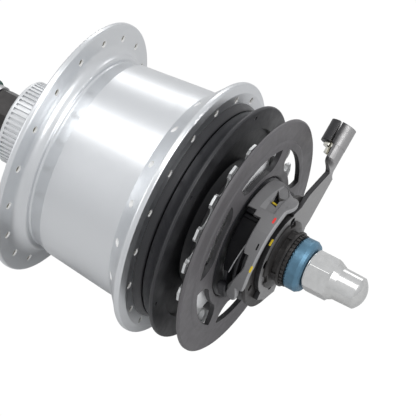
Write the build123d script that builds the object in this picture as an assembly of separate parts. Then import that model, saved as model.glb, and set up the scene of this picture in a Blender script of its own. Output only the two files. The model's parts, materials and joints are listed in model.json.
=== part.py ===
"""Rear bicycle hub gear: epicyclic gearbox in a spoked shell, with chain drive and cable shifter.

Frame: the axle lies on Y, +Y is the left (brake) side, -Y the drive side, +X forwards, +Z up.
The origin is on the axle, midway between the two frame dropouts. Millimetres throughout.
Angles are measured about the axle from +X towards +Z.
"""
from build123d import *
from math import acos, asin, cos, pi, radians, sin, sqrt, tan
import os

# ---------------------------------------------------------------- driving dimensions
# Axle and frame fit
DROPOUT_SPAN = 135.0          # distance between the frame's dropout faces
AXLE_LENGTH = 187.0
AXLE_THREAD_R = 5.0
AXLE_CORE_R = 6.0
AXLE_FLAT = 8.4               # across the two flats at each end
LEFT_WASHER = 3.1             # room for the plain washer on the left end of the axle
RUN = 0.06                    # radial clearance of a running fit
BALL_GAP = 0.05               # clearance between a ball and its race

# Shell
FLANGE_R = 52.0
SPOKE_PCD = 92.6
SPOKE_COUNT = 18              # per flange
SPOKE_HOLE_R = 1.35
SPOKE_PHASE_LEFT = 1.8        # degrees
SPOKE_PHASE_RIGHT = 11.8
LEFT_FLANGE_OUT = 34.0        # y of the left flange's outboard face
LEFT_FLANGE_IN = 31.0
RIGHT_FLANGE_OUT = -23.4
SHELL_BORE_R = 36.0
SHELL_STEP_Y = 1.4            # the bore is wider on the drive side of this plane
SHELL_WIDE_BORE_R = 37.4
BOSS_BORE_R = 13.0
BOSS_R = 15.2
BOSS_END = 56.0

# Brake rotor spline
ROTOR_SPLINE_R = 17.1
ROTOR_SPLINE_ROOT_R = 16.3
ROTOR_SPLINE_COUNT = 52
ROTOR_SHOULDER_Y = 42.0

# Driver, sprocket and guards
SPROCKET_TEETH = 18
CHAIN_PITCH = 12.7
CHAIN_ROLLER_R = 3.97
TOOTH_HEIGHT = 3.6            # of a tooth's tip above the pitch circle
SPROCKET_Y = -40.7
SPROCKET_THICK = 2.2
SPROCKET_PHASE = 12.5         # degrees, of one tooth
SPROCKET_BORE_R = 17.9
GUARD_R = 48.1
GUARD_WINDOWS = 6
GUARD_SPOKE_PHASE = 44.4
GUARD_BORE_R = 24.9
PEG_PLACE = (29.0, 40.4)      # radius and angle of one of the guard's pegs
PEG_R = 1.5
INNER_GUARD_R = 48.0
INNER_GUARD_FACE = -34.5
DRIVER_NECK_R = 20.9
DRIVER_SHOULDER_Y = -39.5     # the sprocket rests against this
DRIVER_SEAT_R = 17.8

# Gear train, module in millimetres
MODULE = 1.0
PRESSURE = radians(20)
BACKLASH = 0.14
ADDENDUM = 0.80
DEDENDUM = 1.15
MAIN_CENTRE = 22.5
MAIN_SUNS = (21, 28, 32)
MAIN_STEPS = (24, 17, 13)     # planet teeth that mesh with each sun
MAIN_RING = 60
MAIN_RING_STEP = 15           # planet teeth that mesh with the ring gear
LOW_CENTRE = 21.0
LOW_SUN = 30
LOW_SUN_STEP = 12
LOW_RING = 66
LOW_RING_STEP = 24
PLANETS = 3
PIN_R = 2.5

# Shifter
SLEEVE_IN_R = AXLE_CORE_R + RUN
SLEEVE_OUT_R = 7.6
SHIFT_TRAVEL = 72.0           # degrees of the cable pulley
PULLEY_R = 22.4
CABLE_GROOVE_R = 18.6
CABLE_Y = -52.0               # plane of the inner cable
DRUM_R = 25.0
ARM_ANGLE = 22.0              # direction of the casing holder
HOLDER_R = 5.2
HOLDER_BORE_R = 3.1
HOLDER_LENGTH = 9.0
SEAT_R = 2.6                  # of the ferrule's seat at the holder's inner end
SEAT_LENGTH = 2.4
SLOT_WIDTH = 0.9

# Freewheel pawls and bearings
PAWL_SEATS = ((20.0, 0.0), (14.7, 0.0), (9.7, 2.9))     # y, and how far each pawl stands up
PAWL_WIDTH = 3.0
PAWL_LENGTH = 3.6
LEFT_BALLS = (10.4, 47.4, 2.38)        # pitch radius, y, ball radius
DRIVER_BALLS = (13.0, -34.6, 2.38)
SHELL_BALLS = (30.0, -24.4, 1.98)
# name, race, number of balls, side of the retainer and its radii
BEARINGS = (
    ("left", LEFT_BALLS, 11, 1, 10.7, 12.4),
    ("driver", DRIVER_BALLS, 14, -1, 13.0, 15.6),
    ("shell", SHELL_BALLS, 36, -1, 29.0, 31.4),
)

# Places of the gear trains and the shell clutch
MAIN_STEP_Y = ((22.4, 17.4), (17.0, 12.6), (12.2, 7.8), (6.9, 1.9))
LOW_STEP_Y = ((-6.0, -10.6), (-11.0, -15.4))
CLUTCH_ROLLERS = 9
ROLLER_R = 1.2
ROLLER_PITCH_R = SHELL_BORE_R - 0.04 - ROLLER_R

# Bracket cover: rows of (angle, left y, right y)
COVER_IN_R = 22.9
COVER_NOSE = ((47.5, -50.2, -51.6), (49, -49.1, -52.9), (51.5, -48.3, -54.0), (55, -47.9, -55.4))
COVER_HOOD = ((55, -47.9, -55.4), (60, -47.75, -57.2), (63, -47.75, -58.3), (65, -47.75, -59.5),
              (67, -47.75, -60.6), (70, -47.75, -61.3), (74, -47.75, -61.5), (79, -47.75, -61.5),
              (84, -47.75, -61.5), (89, -47.75, -61.5), (93, -47.75, -61.5))
COVER_LEDGE = ((93, -47.75, -61.5), (96.5, -47.75, -61.5))
COVER_STEP = ((96.5, -51.5, -61.5), (101.5, -51.5, -61.4))
COVER_BAND = ((101.5, -54.6, -61.4), (106, -54.6, -61.3), (112, -54.6, -61.2), (118, -54.6, -61.1),
              (124, -54.6, -61.0), (130, -54.6, -60.9), (134.8, -55.2, -60.8))
COVER_NECK = ((134.8, -57.2, -60.8), (140, -57.1, -60.7), (146, -57.2, -60.5), (150, -56.9, -60.2),
              (157, -55.6, -59.9), (164, -54.4, -59.6), (171, -53.7, -59.1))
COVER_LOBE = ((171, -53.7, -56.4), (176, -52.9, -56.6), (182, -52.2, -56.6), (187, -52.4, -56.3),
              (190, -53.0, -55.8), (191.5, -53.8, -55.1))
RECESS_FROM = 55.0            # angles between which the hood's face steps down towards the band
RECESS_TO = 93.0
RECESS_DEPTH = 0.75
STAR_PLACE = (76.7, -55.4)    # angle and y
STAR_CORNERS = ((-4.75, 2.3), (0.0, 1.3), (2.7, 1.9), (3.7, -1.5), (0.6, -1.1), (-1.7, -2.5), (-1.3, -0.2))

# Cable arm
ARM_LEFT, ARM_RIGHT = -59.3, -61.2
ARM_BEND = 36.0               # distances from the axle, along the arm: the joggle starts here,
PIPE_START = 44.0             # the open half of the tube here,
HOLDER_START = 49.5           # and the closed tube here
SHEET = 1.6                   # metal thickness of the rolled end
ARM_EDGE_TOP, ARM_EDGE_LOW = -2.5, -9.6       # across the arm, where the joggle starts
ARM_STRIPS = 12               # flat strips round the half pipe
ARM_STATIONS = 8

os.makedirs("parts", exist_ok=True)


# ---------------------------------------------------------------- helpers
def turned(*points):
    """Solid of revolution about the axle from (radius, y) corners."""
    return revolve(make_face(Polyline(*points, close=True)), axis=Axis.Y)


def ring(outer, inner, y_left, y_right):
    """Plain ring about the axle between two y planes."""
    return turned((inner, y_left), (outer, y_left), (outer, y_right), (inner, y_right))


def rod(radius, y_left, y_right, x=0.0, z=0.0):
    """Cylinder parallel to the axle."""
    return plate(Pos(x, z) * Circle(radius), y_left, y_right)


def plate(sketch, y_left, y_right):
    """Extrude an (x, z) sketch from one y plane to a lower one."""
    return extrude(Plane.XZ.offset(-y_left) * sketch, amount=y_left - y_right)


def polar(radius, degrees):
    """Point in the (x, z) plane."""
    return (radius * cos(radians(degrees)), radius * sin(radians(degrees)))


def spin(shape, degrees):
    """Turn a shape about the axle, from +X towards +Z."""
    return Rot(0, -degrees, 0) * shape


def around(shape, count, phase=0.0):
    """Copies of a shape spaced evenly about the axle."""
    return [spin(shape, phase + i * 360 / count) for i in range(count)]


def sector(radius, start, end):
    """Pie-shaped sketch from one angle to another, as wide as asked."""
    arc = CenterArc((0, 0), radius, start, end - start)
    return make_face([Line((0, 0), polar(radius, start)), arc, Line(polar(radius, end), (0, 0))])


def ring_sector(outer, inner, start, end, y_left, y_right):
    """Part of a ring between two angles."""
    return plate(sector(outer, start, end) - Circle(inner), y_left, y_right)


def torus_groove(pitch_r, y, ball_r):
    """Race cut for a ring of balls about the axle."""
    section = Pos(pitch_r, y) * Circle(ball_r + BALL_GAP)
    return revolve(section, axis=Axis.Y)


def save(name, shape):
    """Write one node; a list of solids becomes one compound."""
    if isinstance(shape, (list, tuple)):
        shape = Compound(children=list(shape))
    shape.label = name
    export_step(shape, os.path.join("parts", name + ".step"))


def involute(angle):
    return tan(angle) - angle


def gear_outline(teeth, addendum=ADDENDUM, dedendum=DEDENDUM, thin=BACKLASH / 2, phase=0.0):
    """Spur gear outline with a tooth centred on the phase angle, in degrees."""
    pitch_r = MODULE * teeth / 2
    base_r = pitch_r * cos(PRESSURE)
    tip_r = pitch_r + MODULE * addendum
    root_r = pitch_r - MODULE * dedendum
    half_at_pitch = pi / 2 / teeth - thin / 2 / pitch_r
    start_r = max(base_r, root_r)
    flank = []
    for step in range(4):
        radius = start_r + (tip_r - start_r) * step / 3
        half = half_at_pitch + involute(PRESSURE) - involute(acos(min(1.0, base_r / radius)))
        flank.append((radius, half))
    if root_r < base_r:
        flank.insert(0, (root_r, flank[0][1]))
    points = []
    for tooth in range(teeth):
        centre = radians(phase) + 2 * pi * tooth / teeth
        for radius, half in flank:
            points.append((radius * cos(centre - half), radius * sin(centre - half)))
        for radius, half in reversed(flank):
            points.append((radius * cos(centre + half), radius * sin(centre + half)))
    return make_face(Polyline(*points, close=True))


def hexagon(across_flats, phase=0.0):
    """Hexagon sketch by its size across flats."""
    return RegularPolygon(across_flats / sqrt(3), 6, rotation=phase)


# ---------------------------------------------------------------- axle, cones and end fittings
def axle():
    half = AXLE_LENGTH / 2
    thread, core, bevel = AXLE_THREAD_R, AXLE_CORE_R, 0.8
    body = turned((0, half), (thread - bevel, half), (thread, half - bevel), (thread, 44.6), (core, 44.0),
                  (core, -57.0), (thread, -57.6), (thread, bevel - half), (thread - bevel, -half),
                  (0, -half))
    flat_from = 64.0
    for side in (1, -1):
        low, high = sorted((side * flat_from, side * (half + 1)))
        for up in (1, -1):
            cut = Box(12, high - low, 4, align=(Align.CENTER, Align.MIN, Align.CENTER))
            body -= Pos(0, low, up * (AXLE_FLAT / 2 + 2)) * cut
    for pawl_y, lift in PAWL_SEATS:
        body -= pawl_block(pawl_y, lift, RUN)
    return body


def pawl_block(y, lift, clearance=0.0):
    """One sun pawl in its slot in the axle, at the top."""
    height = 2.4
    top = AXLE_CORE_R - 0.15 + lift
    block = Box(PAWL_WIDTH + 2 * clearance, PAWL_LENGTH + 2 * clearance, height + lift)
    return Pos(0, y, top - (height + lift) / 2) * block


def sun_pawls():
    return [pawl_block(y, lift) for y, lift in PAWL_SEATS]


def left_cone():
    inner = AXLE_THREAD_R
    body = turned((inner, 44.8), (7.0, 44.8), (8.0, 46.2), (8.6, 48.6), (9.6, 50.2), (10.6, 50.6),
                  (10.6, 52.2), (9.0, 52.8), (9.0, 57.0), (inner, 57.0))
    return body - torus_groove(*LEFT_BALLS)


def right_cone():
    """Cone whose two inner keys reach the axle through the shift sleeve's windows."""
    inner = SLEEVE_OUT_R + 0.1
    body = turned((inner, -35.6), (10.6, -35.6), (11.0, -36.2), (12.4, -37.6), (12.4, -43.0), (11.6, -44.0),
                  (inner, -44.0))
    body -= torus_groove(*DRIVER_BALLS)
    for start in (0, 180):
        body += ring_sector(inner + 0.6, AXLE_CORE_R, start + 80, start + 100, -37.0, -41.0)
    return body


def left_lock_nut():
    face, corner = DROPOUT_SPAN / 2, DROPOUT_SPAN / 2 - 1.1
    nut = plate(hexagon(16.2, 8.0) - Circle(AXLE_THREAD_R), face, 57.1)
    return nut & turned((0, face), (8.4, face), (9.5, corner), (9.5, 57.1), (0, 57.1))


def left_lock_washer():
    """Plain thick washer between the left dropout and the non-turn washer."""
    inner = DROPOUT_SPAN / 2 + 0.1
    outer = DROPOUT_SPAN / 2 + LEFT_WASHER
    return turned((AXLE_THREAD_R, outer), (8.7, outer), (9.1, outer - 0.4), (9.1, inner),
                  (AXLE_THREAD_R, inner))


def right_lock_nut():
    """Thin black nut with a serrated rim against the dropout."""
    body = ring(10.5, AXLE_THREAD_R, -66.1, -DROPOUT_SPAN / 2)
    notch = Pos(10.5, -66.9, 0) * Box(0.8, 1.6, 0.7)
    for cut in around(notch, 36):
        body -= cut
    return body


def to_side(body, side):
    """Leave a part made for the drive side there, or mirror it to sit outside the left plain washer."""
    if side < 0:
        return body
    return Pos(0, LEFT_WASHER, 0) * mirror(body, about=Plane.XZ)


def flatted_bore(y_left, y_right):
    """Bore that grips the axle's two flats."""
    bore = Circle(AXLE_THREAD_R + RUN) & Rectangle(20, AXLE_FLAT + 2 * RUN)
    return plate(bore, y_left, y_right)


def non_turn_washer(side):
    """Round washer with a serrated inner rim and a tongue for the dropout slot."""
    inner, outer, radius = 0.0, 6.0, 10.3
    body = turned((0, inner), (radius - 0.5, inner), (radius, inner - 0.6), (radius + 0.1, inner - 4.2),
                  (radius - 0.7, -outer + 0.5), (radius - 1.8, -outer), (0, -outer))
    body = Pos(0, -DROPOUT_SPAN / 2 - 0.25, 0) * body
    face = -DROPOUT_SPAN / 2 - 0.25
    notch = Pos(radius, face - 0.4, 0) * Box(0.9, 0.9, 0.55)
    for cut in around(notch, 40):
        body -= cut
    body -= plate(Circle(7.6) - Circle(6.4), face, face - 0.5)
    body -= flatted_bore(face + 1, face - outer - 1)
    return to_side(body, side)


def cap_nut(side):
    """Closed nut: washer face, hexagon with chamfered corners, round neck and a domed end."""
    start, end, neck_r, across = -74.1, -97.5, 6.4, 15.0
    hex_end, neck_start, dome_start, tip_r = -84.2, -86.4, -94.6, 6.25
    corner_r = across / sqrt(3) - 0.05
    rise = dome_start - end
    dome_r = (tip_r ** 2 + rise ** 2) / 2 / rise
    half = asin(tip_r / dome_r) / 2
    dome_middle = (dome_r * sin(half), end + dome_r * (1 - cos(half)))
    dome = ThreePointArc((tip_r, dome_start), dome_middle, (0, end))
    blank = revolve(make_face([
        Polyline((0, end), (0, start), (7.3, start), (7.3, start - 0.5), (8.0, start - 0.5),
                 (corner_r, start - 1.0), (corner_r, hex_end + 0.9), (7.5, hex_end), (neck_r, neck_start),
                 (tip_r, dome_start)),
        dome,
    ]), axis=Axis.Y)
    side_cut = Pos(0, (start + neck_start) / 2, across / 2 + 2) * Box(12, start - neck_start + 1, 4)
    for cut in around(side_cut, 6, -9.0):
        blank -= cut
    body = blank - rod(AXLE_THREAD_R + RUN, start + 1, -94.0)
    return to_side(body, side)


# ---------------------------------------------------------------- shell
def hub_shell():
    """Tapered barrel with two spoke flanges and the left bearing boss, in one piece."""
    outline = [
        Line((BOSS_BORE_R, BOSS_END), (BOSS_R, BOSS_END)),
        Line((BOSS_R, BOSS_END), (BOSS_R, ROTOR_SHOULDER_Y)),
        Line((BOSS_R, ROTOR_SHOULDER_Y), (18.6, ROTOR_SHOULDER_Y)),
        Line((18.6, ROTOR_SHOULDER_Y), (19.4, 41.2)),
        Line((19.4, 41.2), (21.0, 36.6)),
        ThreePointArc((21.0, 36.6), (22.2, 34.8), (24.4, LEFT_FLANGE_OUT)),
        Line((24.4, LEFT_FLANGE_OUT), (51.2, LEFT_FLANGE_OUT)),
        ThreePointArc((51.2, LEFT_FLANGE_OUT), (51.77, 33.77), (FLANGE_R, 33.2)),
        Line((FLANGE_R, 33.2), (FLANGE_R, 32.4)),
        ThreePointArc((FLANGE_R, 32.4), (51.8, 31.9), (51.3, 31.6)),
        Line((51.3, 31.6), (47.0, LEFT_FLANGE_IN)),
        Line((47.0, LEFT_FLANGE_IN), (45.0, 30.8)),
        ThreePointArc((45.0, 30.8), (42.2, 29.6), (40.9, 27.0)),
        ThreePointArc((40.9, 27.0), (40.5, 26.4), (39.8, 26.2)),
        Line((39.8, 26.2), (38.9, 26.2)),
        Line((38.9, 26.2), (38.7, 25.4)),
        ThreePointArc((38.7, 25.4), (39.3, 22.6), (39.9, 20.4)),
        Line((39.9, 20.4), (40.2, 20.2)),
        Line((40.2, 20.2), (42.9, -7.6)),
        Line((42.9, -7.6), (43.2, -12.4)),
        Line((43.2, -12.4), (43.6, -12.8)),
        Line((43.6, -12.8), (51.0, -19.6)),
        ThreePointArc((51.0, -19.6), (51.7, -20.1), (FLANGE_R, -20.9)),
        Line((FLANGE_R, -20.9), (FLANGE_R, -21.6)),
        ThreePointArc((FLANGE_R, -21.6), (51.75, -22.2), (51.2, -22.5)),
        Line((51.2, -22.5), (48.6, RIGHT_FLANGE_OUT)),
        Line((48.6, RIGHT_FLANGE_OUT), (SHELL_WIDE_BORE_R, RIGHT_FLANGE_OUT)),
        Line((SHELL_WIDE_BORE_R, RIGHT_FLANGE_OUT), (SHELL_WIDE_BORE_R, SHELL_STEP_Y)),
        Line((SHELL_WIDE_BORE_R, SHELL_STEP_Y), (SHELL_BORE_R, SHELL_STEP_Y)),
        Line((SHELL_BORE_R, SHELL_STEP_Y), (SHELL_BORE_R, 24.6)),
        Line((SHELL_BORE_R, 24.6), (33.6, 27.0)),
        Line((33.6, 27.0), (18.0, 27.6)),
        Line((18.0, 27.6), (16.2, 41.4)),
        Line((16.2, 41.4), (BOSS_BORE_R, 41.4)),
        Line((BOSS_BORE_R, 41.4), (BOSS_BORE_R, BOSS_END)),
    ]
    body = revolve(make_face(outline), axis=Axis.Y)
    for phase, y_left, y_right in ((SPOKE_PHASE_LEFT, 35, 29), (SPOKE_PHASE_RIGHT, -12, -25)):
        for i in range(SPOKE_COUNT):
            x, z = polar(SPOKE_PCD / 2, phase + i * 360 / SPOKE_COUNT)
            body -= rod(SPOKE_HOLE_R, y_left, y_right, x, z)
    return body


def rotor_spline_mount():
    """Toothed ring on the boss that drives a brake rotor, with a plain lead-in rim."""
    shoulder = ROTOR_SHOULDER_Y + 0.1
    body = turned((BOSS_R, BOSS_END - 0.6), (15.6, BOSS_END), (16.4, BOSS_END),
                  (ROTOR_SPLINE_R, BOSS_END - 0.7), (ROTOR_SPLINE_R, shoulder), (BOSS_R, shoulder))
    depth = ROTOR_SPLINE_R - ROTOR_SPLINE_ROOT_R
    length = BOSS_END - 1.5 - ROTOR_SHOULDER_Y
    middle = ROTOR_SHOULDER_Y + length / 2
    gap = Pos(ROTOR_SPLINE_R - depth / 2 + 0.5, middle, 0) * Box(depth + 1, length, 1.0)
    for cut in around(gap, ROTOR_SPLINE_COUNT):
        body -= cut
    return body


def left_ball_cup():
    body = turned((9.6, 41.5), (BOSS_BORE_R, 41.5), (BOSS_BORE_R, 50.0), (12.5, 50.0), (12.5, 46.6),
                  (11.6, 45.2), (9.6, 44.0))
    return body - torus_groove(*LEFT_BALLS)


def left_dust_seal():
    return turned((9.3, 53.4), (BOSS_BORE_R, 53.4), (BOSS_BORE_R, 55.8), (12.4, 56.3), (9.9, 56.3),
                  (9.3, 55.6))


def right_ball_cup():
    seat = SHELL_WIDE_BORE_R
    body = turned((31.6, -27.3), (seat, -27.3), (seat, -21.4), (28.9, -21.4), (28.9, -22.4), (31.6, -23.4))
    return body - torus_groove(*SHELL_BALLS)


def right_dust_ring():
    """Black ring on the drive-side flange, with a stepped outer edge."""
    return turned((SHELL_WIDE_BORE_R, RIGHT_FLANGE_OUT), (44.4, RIGHT_FLANGE_OUT), (44.2, -24.4),
                  (43.4, -26.3), (43.0, -26.7), (SHELL_WIDE_BORE_R, -26.7))


# ---------------------------------------------------------------- driver and chain drive
def driver():
    """Input member: disc for the low ring gear, ball races and the sprocket seat."""
    body = turned((11.6, -18.8), (36.5, -18.8), (36.5, -20.6), (27.4, -20.6), (27.4, -24.4), (28.6, -26.0),
                  (28.6, -28.0), (DRIVER_NECK_R, -28.0), (DRIVER_NECK_R, DRIVER_SHOULDER_Y),
                  (DRIVER_SEAT_R, DRIVER_SHOULDER_Y), (DRIVER_SEAT_R, -46.4), (16.0, -46.4),
                  (16.0, -33.8), (14.0, -32.8), (11.6, -32.8))
    body -= torus_groove(*SHELL_BALLS)
    body -= torus_groove(*DRIVER_BALLS)
    body -= ring(DRIVER_SEAT_R + 1, 17.1, -42.0, -43.1)
    slot = Pos(DRIVER_SEAT_R, -40.9, 0) * Box(1.6, 4.0, 3.4)
    for cut in around(slot, 3, 90):
        body -= cut
    return body


def sprocket():
    """Toothed wheel with roller seats, peg holes and three keys for the driver."""
    half_step = pi / SPROCKET_TEETH
    pitch_r = CHAIN_PITCH / 2 / sin(half_step)
    tip_r = pitch_r + TOOTH_HEIGHT
    blank = Circle(tip_r)
    for i in range(SPROCKET_TEETH):
        angle = SPROCKET_PHASE + 180 / SPROCKET_TEETH + i * 360 / SPROCKET_TEETH
        seat_x, seat_z = polar(pitch_r, angle)
        mouth_x, mouth_z = polar(pitch_r + 5.3, angle)
        blank -= Pos(seat_x, seat_z) * Circle(CHAIN_ROLLER_R)
        blank -= Pos(mouth_x, mouth_z) * Circle(5.3)
    for i in range(GUARD_WINDOWS):
        x, z = polar(PEG_PLACE[0], PEG_PLACE[1] + i * 360 / GUARD_WINDOWS)
        blank -= Pos(x, z) * Circle(PEG_R + 0.06)
    blank -= Circle(SPROCKET_BORE_R)
    left, right = SPROCKET_Y + SPROCKET_THICK / 2, SPROCKET_Y - SPROCKET_THICK / 2
    bevel = turned((0, left), (tip_r - 3.4, left), (tip_r + 0.1, left - 0.6), (tip_r + 0.1, right + 0.6),
                   (tip_r - 3.4, right), (0, right))
    body = plate(blank, left, right) & bevel
    for key in around(Pos(SPROCKET_BORE_R, SPROCKET_Y, 0) * Box(1.4, SPROCKET_THICK, 3.2), 3, 90):
        body += key & ring(19.0, 17.2, left, right)
    return body


def inner_chain_guard():
    """Black disc inboard of the sprocket, with a flared skirt towards the shell."""
    face = INNER_GUARD_FACE
    outline = [
        Line((DRIVER_NECK_R, -29.4), (DRIVER_NECK_R + 1.8, -29.4)),
        Line((DRIVER_NECK_R + 1.8, -29.4), (DRIVER_NECK_R + 2.2, -31.0)),
        Line((DRIVER_NECK_R + 2.2, -31.0), (38.8, -31.0)),
        ThreePointArc((38.8, -31.0), (40.6, -29.8), (41.4, -27.2)),
        Line((41.4, -27.2), (42.9, -27.2)),
        ThreePointArc((42.9, -27.2), (44.6, -30.3), (46.9, -32.6)),
        Line((46.9, -32.6), (INNER_GUARD_R - 0.3, -33.0)),
        ThreePointArc((INNER_GUARD_R - 0.3, -33.0), (INNER_GUARD_R, -33.7), (INNER_GUARD_R - 0.5, face)),
        Line((INNER_GUARD_R - 0.5, face), (39.2, face)),
        Line((39.2, face), (38.6, -32.8)),
        Line((38.6, -32.8), (DRIVER_NECK_R + 5.0, -32.6)),
        Line((DRIVER_NECK_R + 5.0, -32.6), (DRIVER_NECK_R + 3.6, -35.6)),
        Line((DRIVER_NECK_R + 3.6, -35.6), (DRIVER_NECK_R, -35.6)),
        Line((DRIVER_NECK_R, -35.6), (DRIVER_NECK_R, -29.4)),
    ]
    body = revolve(make_face(outline), axis=Axis.Y)
    for i in range(6):
        x, z = polar(44.9, 57 + 60 * i)
        body -= rod(0.8, -32.0, -36.0, x, z)
    return body


def guard_window():
    """One crescent window between two curved spokes, centred on angle zero."""
    outer, inner, half_outer, half_inner = 36.6, 28.4, 24.3, 15.4
    start, end = polar(outer, -half_outer), polar(outer, half_outer)
    low, high = polar(inner, -half_inner), polar(inner, half_inner)
    left_bow, right_bow = polar(32.4, -23.4), polar(32.4, 23.4)
    return make_face([
        ThreePointArc(start, (outer, 0), end),
        ThreePointArc(end, right_bow, high),
        ThreePointArc(high, (inner, 0), low),
        ThreePointArc(low, left_bow, start),
    ])


def outer_chain_guard():
    """Grey spoked disc outboard of the chain, with six pegs into the sprocket."""
    body = turned((GUARD_BORE_R, -45.0), (40.2, -45.0), (47.2, -44.6), (GUARD_R, -45.2), (GUARD_R, -45.9),
                  (47.5, -46.4), (40.0, -46.4), (39.4, -46.8), (38.2, -46.9), (28.0, -47.0), (25.5, -46.7),
                  (GUARD_BORE_R, -46.2))
    window = guard_window()
    for i in range(GUARD_WINDOWS):
        turn = GUARD_SPOKE_PHASE + 30 + i * 360 / GUARD_WINDOWS
        body -= plate(Rot(0, 0, turn) * window, -43.0, -49.0)
    for i in range(GUARD_WINDOWS):
        x, z = polar(PEG_PLACE[0], PEG_PLACE[1] + i * 360 / GUARD_WINDOWS)
        body += rod(2.7, -41.9, -45.6, x, z)
        body += rod(PEG_R, -39.7, -42.5, x, z)
    return body


def snap_ring():
    """Open wire clip that holds the sprocket on the driver."""
    return ring_sector(19.3, 17.2, 14, 346, -42.1, -43.0)


def driver_dust_cap():
    """Black dished cap that closes the driver round the shifter."""
    return turned((DRIVER_SEAT_R, -44.5), (19.6, -44.5), (24.6, -45.2), (24.6, -46.4), (24.0, -46.7),
                  (19.6, -46.5), (DRIVER_SEAT_R, -46.5))


# ---------------------------------------------------------------- gear train
def stepped_planet(steps, bore_r, bevel_y):
    """Gears of several sizes on one bore: (teeth, tooth phase, y left, y right) each."""
    body = None
    for teeth, phase, y_left, y_right in steps:
        gear = plate(gear_outline(teeth, phase=phase), y_left, y_right)
        body = gear if body is None else body + gear
    for neck_left, neck_right, neck_r in bevel_y:
        body += rod(neck_r, neck_left, neck_right)
    return body - rod(bore_r, 60, -60)


def toward_sun(teeth):
    """Tooth phase that turns a gap towards the axle from a planet on +X."""
    return 180 + 180 / teeth


def main_planet(index):
    teeth = MAIN_STEPS + (MAIN_RING_STEP,)
    phases = [toward_sun(t) for t in MAIN_STEPS] + [0.0]
    steps = [(t, p, *y) for t, p, y in zip(teeth, phases, MAIN_STEP_Y)]
    necks = ((17.4, 17.0, 7.2), (12.6, 12.2, 5.3), (7.8, 6.9, 5.3))
    x, z = polar(MAIN_CENTRE, 360 / PLANETS * index)
    return Pos(x, 0, z) * stepped_planet(steps, PIN_R + RUN, necks)


def low_planet(index):
    steps = ((LOW_SUN_STEP, toward_sun(LOW_SUN_STEP), *LOW_STEP_Y[0]), (LOW_RING_STEP, 0.0, *LOW_STEP_Y[1]))
    planet = stepped_planet(steps, PIN_R + RUN, ((-10.6, -11.0, 4.8),))
    return spin(Pos(LOW_CENTRE, 0, 0) * planet, 360 / PLANETS * index)


def sun_gear(teeth, y_left, y_right, bore_r):
    return plate(gear_outline(teeth) - Circle(bore_r), y_left, y_right)


def main_sun(index):
    """Sun on the shift sleeve; the largest has notches that the raised pawl holds."""
    y_left, y_right = MAIN_STEP_Y[index]
    body = sun_gear(MAIN_SUNS[index], y_left - 0.2, y_right + 0.2, SLEEVE_OUT_R + RUN)
    notch = Pos(0, (y_left + y_right) / 2, 8.0) * Box(PAWL_WIDTH + 0.2, 10, 2.2)
    for turn in range(6):
        body -= spin(notch, 60 * turn) & ring(9.1, 6.0, y_left, y_right)
    return body


def low_sun():
    y_left, y_right = LOW_STEP_Y[0]
    return sun_gear(LOW_SUN, y_left - 0.2, y_right + 0.2, SLEEVE_OUT_R + RUN)


def internal_gear(teeth, outer_r, y_left, y_right):
    """Ring gear with a tooth space centred on +X."""
    spaces = gear_outline(teeth, addendum=DEDENDUM, dedendum=ADDENDUM, thin=-BACKLASH / 2)
    return plate(Circle(outer_r) - spaces, y_left, y_right)


def main_ring_gear():
    """Output ring: internal teeth, and a sleeve with ramps for the roller clutch."""
    body = internal_gear(MAIN_RING, 33.4, 7.2, 1.7)
    body += ring(33.4, 32.2, 17.0, 7.2) + ring(33.4, 31.3, 7.9, 7.2)
    for i in range(CLUTCH_ROLLERS):
        x, z = polar(ROLLER_PITCH_R, 10 + i * 40)
        body -= rod(ROLLER_R + 0.04, 16.0, 8.2, x, z)
    return body


def clutch_rollers():
    places = [polar(ROLLER_PITCH_R, 10 + i * 40) for i in range(CLUTCH_ROLLERS)]
    return [rod(ROLLER_R, 15.8, 8.4, x, z) for x, z in places]


def clutch_cage():
    body = ring(35.5, 33.5, 16.8, 7.4)
    for i in range(CLUTCH_ROLLERS):
        x, z = polar(ROLLER_PITCH_R, 10 + i * 40)
        body -= rod(ROLLER_R + 0.06, 16.0, 8.2, x, z)
    return body


def carrier_posts(y_left, y_right, radius):
    """Three posts midway between the planets."""
    places = [polar(radius, 60 + 360 / PLANETS * i) for i in range(PLANETS)]
    return [rod(3.3, y_left, y_right, x, z) for x, z in places]


def pin_holes(body, centre, y_left, y_right):
    for i in range(PLANETS):
        x, z = polar(centre, 360 / PLANETS * i)
        body -= rod(PIN_R, y_left, y_right, x, z)
    return body


def main_carrier():
    """Drive-side plate with posts, and pockets for the direct-drive pawls."""
    body = ring(33.0, 8.0, 1.0, -2.4)
    for post in carrier_posts(23.0, 1.0, 23.9):
        body += post
    for pawl in direct_drive_pawls(0.05):
        body -= pawl
    return pin_holes(body, MAIN_CENTRE, 24, -3)


def main_carrier_plate():
    body = ring(31.0, 8.0, 25.2, 23.0)
    return pin_holes(body, MAIN_CENTRE, 26, 22)


def main_planet_pins():
    places = [polar(MAIN_CENTRE, 360 / PLANETS * i) for i in range(PLANETS)]
    return [rod(PIN_R, 25.2, -2.4, x, z) for x, z in places]


def direct_drive_pawls(clearance=0.0):
    """Three pawls between the main carrier and the low ring gear's sleeve."""
    block = Pos(32.2, -0.9, 0) * Box(3.4 + 2 * clearance, 2.6 + 2 * clearance, 4.0 + 2 * clearance)
    return around(block, 3, 60)


def low_ring_gear():
    """Input ring of the low stage, with a ratchet sleeve round the main carrier."""
    body = internal_gear(LOW_RING, 36.5, -10.8, -16.6)
    body += ring(36.5, 34.9, -10.8, -3.0) + ring(36.5, 33.2, 0.8, -3.0)
    body += ring(36.5, 34.9, -16.6, -18.8)
    notch = Pos(34.0, -1.1, 0) * Box(2.4, 4.4, 4.6)
    for cut in around(notch, 12, 0):
        body -= cut
    return body


def low_carrier():
    body = ring(31.0, 8.0, -3.4, -5.4)
    for post in carrier_posts(-5.4, -16.2, 21.4):
        body += post
    return pin_holes(body, LOW_CENTRE, -3, -17)


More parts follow.
